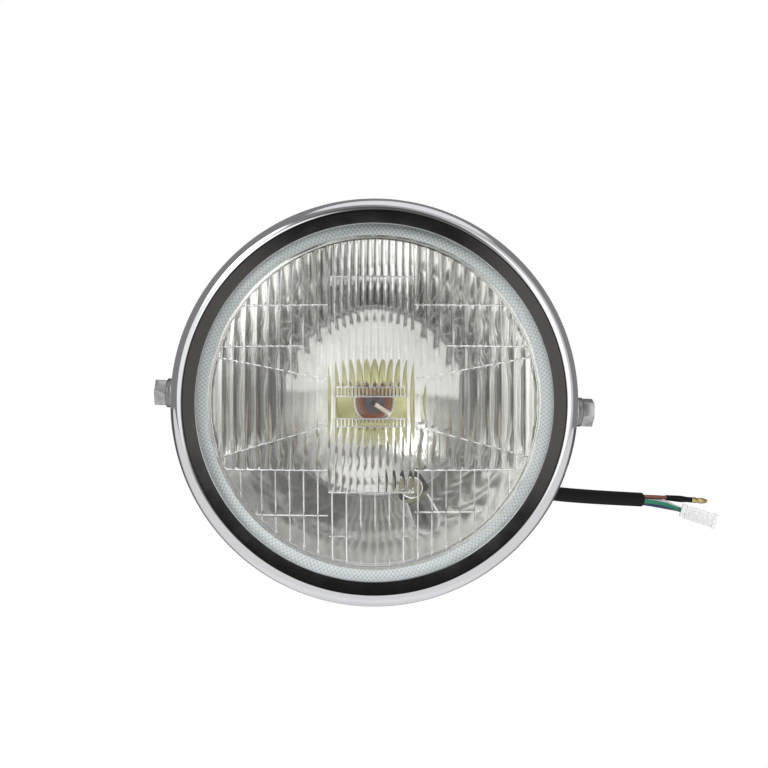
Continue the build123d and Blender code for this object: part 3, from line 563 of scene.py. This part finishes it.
def moulding(x, z, block, zone):
    """Height of the flutes, ribs or ruled lines at a point."""
    left, right, count = BLOCKS[block]
    along = (x - left) / (right - left) * count
    flute = 1 - (along % 1 * 2 - 1) ** 2
    if zone >= CLEAR_ZONE:
        if abs(x) < PLAIN_HALF and PLAIN_FOOT < z < PLAIN_TOP:
            return 0.0
        return bead(min(abs(x - rule) for rule in RULES), RULE_BEAD)
    if block != MIDDLE_BLOCK:
        return flute * (PANEL_DEPTH if zone in PANEL_ZONES else FLUTE_DEPTH)
    if in_window(x) and zone == WINDOW_ZONE:
        return 0.0
    if in_window(x) and zone in PANEL_ZONES:
        return RIB_DEPTH * (1 - (along * 2 % 1 * 2 - 1) ** 2)
    return flute * CENTRE_DEPTH


def glass_points():
    """Rows of points over the inside of the glass, column by column, in millimetres."""
    grid = []
    for x, block in column_places():
        edge = sqrt(max(0.0, FLUTE_R**2 - x**2))
        borders, marks = fields(x, block)
        ends = [edge, *borders, -edge]
        raised = [(edge, 0.0)]
        for zone, rows in enumerate(ZONE_ROWS):
            last_zone = zone == len(ZONE_ROWS) - 1
            top = ends[zone] - BEAD
            foot = ends[zone + 1] + (0.0 if last_zone else BEAD)
            if zone == 0:
                top = max(top, foot)
            for row in range(rows + 1):
                z = top + (foot - top) * row / rows
                raised.append((z, moulding(x, z, block, zone)))
            if last_zone:
                continue
            for offset in (BEAD / 2, 0.0, -BEAD / 2):
                z = ends[zone + 1] + offset
                under = moulding(x, z, block, zone if offset > 0 else zone + 1)
                raised.append((z, max(under, bead(offset, marks[zone]))))
        column = []
        for z, height in raised:
            if abs(z) >= edge:
                z, height = max(-edge, min(edge, z)), 0.0
            column.append((x, DOME_CENTRE - sqrt((INNER_SPHERE - height) ** 2 - x**2 - z**2), z))
        grid.append(column)
    return grid


def dome(sphere, radius):
    """Ring on a dome, as (radius, y)."""
    return (radius, DOME_CENTRE - sqrt(sphere**2 - radius**2))


glass_grid = glass_points()
bpy.ops.object.select_all(action="DESELECT")
bpy.ops.mesh.primitive_grid_add(
    x_subdivisions=len(glass_grid) - 1, y_subdivisions=len(glass_grid[0]) - 1, size=2, location=(0, 0, 0)
)
lens = bpy.context.object
lens.name = "lens_glass"
for vertex in lens.data.vertices:
    column = round((vertex.co.x + 1) / 2 * (len(glass_grid) - 1))
    row = round((1 - vertex.co.y) / 2 * (len(glass_grid[0]) - 1))
    vertex.co = Vector(glass_grid[column][row]) * MM
bpy.ops.object.mode_set(mode="EDIT")
bpy.ops.mesh.select_mode(type="EDGE")
bpy.ops.mesh.select_all(action="SELECT")
bpy.ops.mesh.remove_doubles(threshold=2 * SEAM)
bpy.ops.mesh.region_to_loop()
inner_edge = sqrt(INNER_SPHERE**2 - (DOME_CENTRE - LENS_BACK) ** 2)
rings = [dome(INNER_SPHERE - RULE_BEAD, FLUTE_R + BEAD), dome(INNER_SPHERE, FLUTE_R + 2 * BEAD)]
rings += [(inner_edge, LENS_BACK), (LENS_R, LENS_BACK), (LENS_R, LENS_FRONT)]
rings += [dome(DOME_SPHERE, DOME_R * (DOME_RINGS - i) / DOME_RINGS) for i in range(DOME_RINGS)]
last = FLUTE_R
for radius, y in rings:
    bpy.ops.mesh.extrude_region_move()
    bpy.ops.transform.resize(value=(radius / last, 0, radius / last), center_override=(0, y * MM, 0))
    last = radius
bpy.ops.mesh.extrude_region_move()
bpy.ops.mesh.merge(type="CENTER")
bpy.ops.mesh.select_all(action="SELECT")
bpy.ops.mesh.normals_make_consistent(inside=False)
bpy.ops.object.mode_set(mode="OBJECT")
lens.rotation_euler = (0, UNIT_TURN, 0)
bpy.ops.object.transform_apply(location=True, rotation=True, scale=True)
bpy.ops.object.shade_smooth_by_angle(angle=radians(40))
lens_glass = coating(
    "pressed_glass", colour=(0.985, 0.992, 0.985), metallic=0.0, roughness=0.0,
    Transmission_Weight=1.0, IOR=1.5,
)
grained(lens_glass, scale=45, depth=0.000012)
fitted(lens, lens_glass, "lens_glass", "lens")
lens.visible_shadow = False


def painted_knurl_light(made, low, high, teeth, pitch):
    """Painted light and shade of a knurled glass: fine light and dark squares round the axis, their number in
    a turn, and their pitch outwards in metres.
    """
    nodes, links = made.node_tree.nodes, made.node_tree.links

    def step(operation, *values):
        """Result of one sum on numbers or on other steps' results."""
        node = nodes.new("ShaderNodeMath")
        node.operation = operation
        for socket, value in zip(node.inputs, values):
            if isinstance(value, (int, float)):
                socket.default_value = value
            else:
                links.new(value, socket)
        return node.outputs["Value"]

    place = nodes.new("ShaderNodeTexCoord")
    parted = nodes.new("ShaderNodeSeparateXYZ")
    links.new(place.outputs["Object"], parted.inputs["Vector"])
    turn = step("ARCTAN2", parted.outputs["Z"], parted.outputs["X"])
    around = step("SINE", step("MULTIPLY", turn, teeth))
    across = step("SINE", step("MULTIPLY", axis_radius(made), 2 * pi / pitch))
    blend = nodes.new("ShaderNodeMixRGB")
    blend.inputs["Color1"].default_value = (*low, 1)
    blend.inputs["Color2"].default_value = (*high, 1)
    links.new(step("MULTIPLY_ADD", step("MULTIPLY", around, across), 0.5, 0.5), blend.inputs["Fac"])
    links.new(blend.outputs["Color"], nodes["Principled BSDF"].inputs["Base Color"])


grey_sealant = coating("grey_sealant", colour=(0.9, 0.92, 0.93), metallic=0.0, roughness=0.6)
# the sealant's light and dark squares are painted light and shade of the knurled glass in front of it
painted_knurl_light(grey_sealant, low=(0.5, 0.545, 0.56), high=(0.84, 0.88, 0.89), teeth=250, pitch=0.0024)
grained(grey_sealant, scale=500, depth=0.00008)
coated(grey_sealant, "lens_gasket")

# Front rim: one ring pressed from thin steel and chromed, with a rounded shoulder outside, a band that falls
# back towards the glass, and a lip round the lens unit, which spring clips press into it. A hook and a screw
# with its nut, all zinc-plated, fix the rim to the shell.
RIM_R = 90.0
RIM_WALL = 0.8
RIM_FRONT = -50.0
RIM_BACK = -26.0
SHOULDER = 5.5
LIP_R = 78.4
LIP_FRONT = -48.4
LIP_BACK = -46.0
LIP_ROUNDING = 0.15
BAND_GUARD = 0.3  # from the end of a straight stretch to the point that keeps it straight


def steadied(points):
    """The outline with a point near both ends of each long straight stretch, so that its gloss stays even."""
    steady = []
    for index, here in enumerate(points):
        along = points[(index + 1) % len(points)] - here
        steady.append(here)
        if along.length > 4 * BAND_GUARD:
            steady.append(here + along.normalized() * BAND_GUARD)
            steady.append(here + along.normalized() * (along.length - BAND_GUARD))
    return steady


chrome = coating("chrome_plate", colour=(0.745, 0.75, 0.775), metallic=1.0, roughness=0.05)
uneven(chrome, low=0.035, high=0.08, scale=120)
grained(chrome, scale=160, depth=0.000004)
rim_outline = steadied(rounded([
    (RIM_R, RIM_BACK),
    (RIM_R, RIM_FRONT, SHOULDER),
    (LIP_R, LIP_FRONT, LIP_ROUNDING),
    (LIP_R, LIP_BACK),
    (LIP_R + RIM_WALL, LIP_BACK),
    (LIP_R + RIM_WALL, LIP_FRONT + RIM_WALL),
    (RIM_R - RIM_WALL, RIM_FRONT + RIM_WALL, SHOULDER - RIM_WALL),
    (RIM_R - RIM_WALL, RIM_BACK),
]))
fitted(turned("chrome_rim", rim_outline, steps=256), chrome, "chrome", "front_rim")
dressed("rim_screw", zinc, "zinc", edge=0.0003)
coated(zinc, "rim_nut", "rim_hook")
coated(spring_steel, "rim_clips")

# Lead: a black vinyl sleeve that leaves the shell through a rubber grommet. Of the vinyl-covered wires from
# its open end, the brown one is crimped into a brass bullet, and the green, blue and white ones go into a
# nylon connector. The routes' points are those of the CAD model, measured from the grommet.
GROMMET = Vector((74.652, 34.8, -37.058))
SLEEVE_R = 3.7
WIRE_R = 1.1
SLEEVE_ROUTE = [
    (-38.05, 2.4, 18.96), (-15.65, -5.7, 7.86), (9.85, 3.5, -4.84),
    (39.85, 16.2, -7.14), (69.85, 26.7, -7.94),
]
BROWN_ROUTE = [
    (60.64, 22.86, -6.09), (70.08, 26.17, -6.35), (80.6, 29.8, -6.42), (91.1, 33.0, -7.02),
]
GREEN_ROUTE = [
    (60.93, 21.89, -8.27), (70.36, 25.19, -8.52), (82.5, 27.0, -9.6),
    (89.95, 24.97, -12.36), (95.55, 23.47, -13.92),
]
BLUE_ROUTE = [
    (60.18, 23.93, -9.28), (69.62, 27.23, -9.53), (84.0, 29.6, -11.55),
    (90.88, 28.45, -12.36), (96.48, 26.95, -13.92),
]
WHITE_ROUTE = [
    (59.90, 24.91, -7.11), (69.34, 28.21, -7.36), (84.0, 32.3, -8.9),
    (91.81, 31.93, -12.36), (97.41, 30.43, -13.92),
]


def strung(name, route, radius, made, slot, node):
    """Cord along the route's points."""
    line = bpy.data.curves.new(name, "CURVE")
    line.dimensions = "3D"
    spline = line.splines.new("NURBS")
    spline.points.add(len(route) - 1)
    for point, place in zip(spline.points, route):
        point.co = (*((GROMMET + Vector(place)) * MM), 1)
    spline.order_u = 3
    spline.use_endpoint_u = True
    line.resolution_u = 24
    line.bevel_depth = radius * MM
    line.bevel_resolution = 6
    cord = bpy.data.objects.new(name, line)
    bpy.context.scene.collection.objects.link(cord)
    return fitted(cord, made, slot, node)


green_vinyl = coating("green_vinyl", colour=(0.006, 0.16, 0.1), metallic=0.0, roughness=0.4)
blue_vinyl = coating("blue_vinyl", colour=(0.022, 0.027, 0.125), metallic=0.0, roughness=0.4)
white_vinyl = coating("white_vinyl", colour=(0.78, 0.78, 0.77), metallic=0.0, roughness=0.4)
for vinyl in (green_vinyl, blue_vinyl, white_vinyl):
    uneven(vinyl, low=0.32, high=0.5, scale=300)
    grained(vinyl, scale=900, depth=0.00001)
white_nylon = coating("white_nylon", colour=(0.82, 0.83, 0.825), metallic=0.0, roughness=0.45)
uneven(white_nylon, low=0.38, high=0.55, scale=250)
grained(white_nylon, scale=300, depth=0.000004)
dressed("shell_grommet", black_rubber, "black_rubber", edge=0.0004)
bullet_sleeve = dressed("bullet_sleeve", black_vinyl, "black_vinyl", edge=0.0002)
bullet = dressed("bullet_terminal", brass, "brass", edge=0.00015)
connector = dressed("connector_housing", white_nylon, "white_nylon", edge=0.0004)
coated(brass, "connector_terminals")

sleeve = strung("lead_sleeve", SLEEVE_ROUTE, SLEEVE_R, black_vinyl, "black_vinyl", "harness_sleeve")
brown = strung("wire_brown", BROWN_ROUTE, WIRE_R, brown_vinyl, "brown_vinyl", "brown_wire")
green = strung("wire_green", GREEN_ROUTE, WIRE_R, green_vinyl, "green_vinyl", "green_wire")
blue = strung("wire_blue", BLUE_ROUTE, WIRE_R, blue_vinyl, "blue_vinyl", "blue_wire")
white = strung("wire_white", WHITE_ROUTE, WIRE_R, white_vinyl, "white_vinyl", "white_wire")

# Studio: a white floor and backdrop, soft lamps left, right and above, and the room that bright metal and
# glass show: pale panels at both sides and overhead, a dark front where the camera stands, and two bright
# lamps, one high on the left and one just left of the camera.
FLOOR_Z = -0.24
FLOOR_BACK = 4.0
FLOOR_FRONT = -1.1
FLOOR_HALF_WIDTH = 3.0
FLOOR_SHADE_R = 0.245  # the floor keeps its shadow this far from the lamp's middle, then turns plain white
FLOOR_WHITE_R = 0.32
FLOOR_SHADE_WHITE = 0.3  # share of plain white in the shadow
FLOOR_PALE_Y = 0.0  # what bright metal shows of the floor: pale in front, and behind the lamp a painted shade
FLOOR_PAINTED_SHADE_Y = 0.25
FLOOR_PALE = 0.84
FLOOR_PAINTED_SHADE = 0.12
AMBIENT = 0.5
ROOM = (0.26, 0.26, 0.26)
PATCHES = (  # (towards, full within and gone beyond in degrees, colour), laid one over another
    ((0.47, -0.86, 0.2), 22, 44, (0.75, 0.75, 0.745)),  # panel on the right and its brighter middle
    ((0.4, -0.899, 0.178), 17, 23, (1.35, 1.35, 1.34)),
    ((-0.5, -0.842, 0.2), 18, 25, (1.05, 1.05, 1.05)),  # panel on the left
    ((0, -0.933, 0.36), 9, 19, (0.13, 0.125, 0.12)),  # dim gap between them
    ((0.1, -0.26, 0.96), 23, 29, (0.95, 0.95, 0.96)),  # panel overhead
    ((-0.53, -0.68, 0.51), 9, 14, (3.0, 3.0, 3.0)),  # lamp high on the left
    ((0, -1, 0), 6.8, 9.2, (0.011, 0.01, 0.0095)),  # dark front, and what is dimly seen on its two sides
    ((-0.11, -0.994, -0.03), 2, 5.5, (0.115, 0.105, 0.098)),
    ((0.11, -0.994, -0.03), 1.5, 5, (0.1, 0.09, 0.083)),
    ((-0.207, -0.956, 0.207), 5, 10.5, (1.4, 1.4, 1.4)),  # lamp just left of the camera, in its glow
    ((-0.207, -0.956, 0.207), 2, 4, (3.0, 3.0, 3.0)),
)


def daylight(name, place, size, power):
    """Broad soft lamp aimed at the headlight."""
    lamp_data = bpy.data.lights.new(name, "AREA")
    lamp_data.shape = "DISK"
    lamp_data.size = size
    lamp_data.energy = power
    lamp = bpy.data.objects.new(name, lamp_data)
    lamp.location = place
    lamp.rotation_euler = (-Vector(place)).to_track_quat("-Z", "Y").to_euler()
    lamp.visible_glossy = False
    lamp.visible_transmission = False
    bpy.context.scene.collection.objects.link(lamp)


def sum_of(tree, first, second):
    """Sum of two ray tests, at most one."""
    added = tree.nodes.new("ShaderNodeMath")
    added.operation = "ADD"
    added.use_clamp = True
    tree.links.new(first, added.inputs[0])
    tree.links.new(second, added.inputs[1])
    return added.outputs["Value"]


bpy.ops.object.select_all(action="DESELECT")
bpy.ops.mesh.primitive_plane_add(size=2, location=(0, 0, 0))
floor = bpy.context.object
floor.name = "floor"
floor.scale = (FLOOR_HALF_WIDTH, (FLOOR_BACK - FLOOR_FRONT) / 2, 1)
floor.location = (0, (FLOOR_BACK + FLOOR_FRONT) / 2, FLOOR_Z)
bpy.ops.object.transform_apply(location=True, rotation=True, scale=True)
floor_white = coating("floor_white", colour=(0.9, 0.9, 0.9), metallic=0.0, roughness=0.9)
tree = floor_white.node_tree
glow = tree.nodes.new("ShaderNodeEmission")
blend = tree.nodes.new("ShaderNodeMixShader")
path = tree.nodes.new("ShaderNodeLightPath")
seen = sum_of(tree, path.outputs["Is Camera Ray"], path.outputs["Is Glossy Ray"])
seen = sum_of(tree, seen, path.outputs["Is Transmission Ray"])
place = tree.nodes.new("ShaderNodeTexCoord")
reach = tree.nodes.new("ShaderNodeVectorMath")
reach.operation = "LENGTH"
clear = tree.nodes.new("ShaderNodeMapRange")
clear.inputs["From Min"].default_value = FLOOR_SHADE_R
clear.inputs["From Max"].default_value = FLOOR_WHITE_R
clear.inputs["To Min"].default_value = FLOOR_SHADE_WHITE
clear.inputs["To Max"].default_value = 1.0
share = tree.nodes.new("ShaderNodeMath")
share.operation = "MULTIPLY"
parted = tree.nodes.new("ShaderNodeSeparateXYZ")
# to glossy rays the floor is dimmer than to the camera and painted dark behind the lamp, a painted shade in
# its reflection
behind = tree.nodes.new("ShaderNodeMapRange")
behind.inputs["From Min"].default_value = FLOOR_PALE_Y
behind.inputs["From Max"].default_value = FLOOR_PAINTED_SHADE_Y
behind.inputs["To Min"].default_value = FLOOR_PALE
behind.inputs["To Max"].default_value = FLOOR_PAINTED_SHADE
mirrored = tree.nodes.new("ShaderNodeMix")
mirrored.inputs["A"].default_value = 1.0
tree.links.new(place.outputs["Object"], parted.inputs["Vector"])
tree.links.new(parted.outputs["Y"], behind.inputs["Value"])
tree.links.new(behind.outputs["Result"], mirrored.inputs["B"])
tree.links.new(path.outputs["Is Glossy Ray"], mirrored.inputs["Factor"])
tree.links.new(mirrored.outputs["Result"], glow.inputs["Strength"])
tree.links.new(place.outputs["Object"], reach.inputs[0])
tree.links.new(reach.outputs["Value"], clear.inputs["Value"])
tree.links.new(clear.outputs["Result"], share.inputs[0])
tree.links.new(seen, share.inputs[1])
tree.links.new(share.outputs["Value"], blend.inputs["Fac"])
tree.links.new(tree.nodes["Principled BSDF"].outputs["BSDF"], blend.inputs[1])
tree.links.new(glow.outputs["Emission"], blend.inputs[2])
tree.links.new(blend.outputs["Shader"], tree.nodes["Material Output"].inputs["Surface"])
floor.data.materials.append(floor_white)

studio = bpy.data.worlds.new("studio")
bpy.context.scene.world = studio
studio.use_nodes = True
tree = studio.node_tree
ambient = tree.nodes["Background"]
ambient.inputs["Color"].default_value = (1, 1, 1, 1)
ambient.inputs["Strength"].default_value = AMBIENT
backdrop = tree.nodes.new("ShaderNodeBackground")
backdrop.inputs["Color"].default_value = (1, 1, 1, 1)
surroundings = tree.nodes.new("ShaderNodeBackground")
direction = tree.nodes.new("ShaderNodeTexCoord")
laid = None
for towards, full, gone, colour in PATCHES:
    facing = tree.nodes.new("ShaderNodeVectorMath")
    facing.operation = "DOT_PRODUCT"
    facing.inputs[1].default_value = towards
    soft = tree.nodes.new("ShaderNodeMapRange")
    soft.interpolation_type = "SMOOTHSTEP"
    soft.inputs["From Min"].default_value = cos(radians(gone))
    soft.inputs["From Max"].default_value = cos(radians(full))
    over = tree.nodes.new("ShaderNodeMixRGB")
    over.inputs["Color1"].default_value = (*ROOM, 1)
    over.inputs["Color2"].default_value = (*colour, 1)
    tree.links.new(direction.outputs["Generated"], facing.inputs[0])
    tree.links.new(facing.outputs["Value"], soft.inputs["Value"])
    tree.links.new(soft.outputs["Result"], over.inputs["Fac"])
    if laid:
        tree.links.new(laid, over.inputs["Color1"])
    laid = over.outputs["Color"]
tree.links.new(laid, surroundings.inputs["Color"])
path = tree.nodes.new("ShaderNodeLightPath")
shiny = sum_of(tree, path.outputs["Is Glossy Ray"], path.outputs["Is Transmission Ray"])
reflected = tree.nodes.new("ShaderNodeMixShader")
shown = tree.nodes.new("ShaderNodeMixShader")
tree.links.new(shiny, reflected.inputs["Fac"])
tree.links.new(ambient.outputs["Background"], reflected.inputs[1])
tree.links.new(surroundings.outputs["Background"], reflected.inputs[2])
tree.links.new(path.outputs["Is Camera Ray"], shown.inputs["Fac"])
tree.links.new(reflected.outputs["Shader"], shown.inputs[1])
tree.links.new(backdrop.outputs["Background"], shown.inputs[2])
tree.links.new(shown.outputs["Shader"], tree.nodes["World Output"].inputs["Surface"])

daylight("lamp_left", place=(-0.9, -0.9, 0.6), size=0.8, power=12)
daylight("lamp_right", place=(1.0, -0.8, 0.3), size=0.8, power=7)
daylight("lamp_above", place=(0.0, 0.1, 1.2), size=0.9, power=9)

# Camera: face-on to the lens, half a metre ahead of the rim, and rolled until the flutes stand upright. The
# small shift frames the lamp a little below the middle of the picture, as it was photographed.
CAMERA_Y = -0.55
RIM_DISTANCE = 500  # millimetres from the camera to the rim
PICTURE = 768  # pixels across the picture
PIXEL = 0.436  # millimetres that a pixel covers at the rim
SHIFT_X = 9.7  # pixels that the frame is moved by
SHIFT_Y = 18.5
camera_data = bpy.data.cameras.new("camera")
camera_data.sensor_width = 36
camera_data.lens = camera_data.sensor_width * RIM_DISTANCE / (PICTURE * PIXEL)
camera_data.shift_x = SHIFT_X / PICTURE
camera_data.shift_y = SHIFT_Y / PICTURE
camera_data.clip_start = 0.01
camera = bpy.data.objects.new("camera", camera_data)
camera.location = (0, CAMERA_Y, 0)
camera.rotation_euler = (pi / 2, UNIT_TURN, 0)
bpy.context.scene.collection.objects.link(camera)
bpy.context.scene.camera = camera
bpy.context.scene.view_settings.view_transform = "Standard"
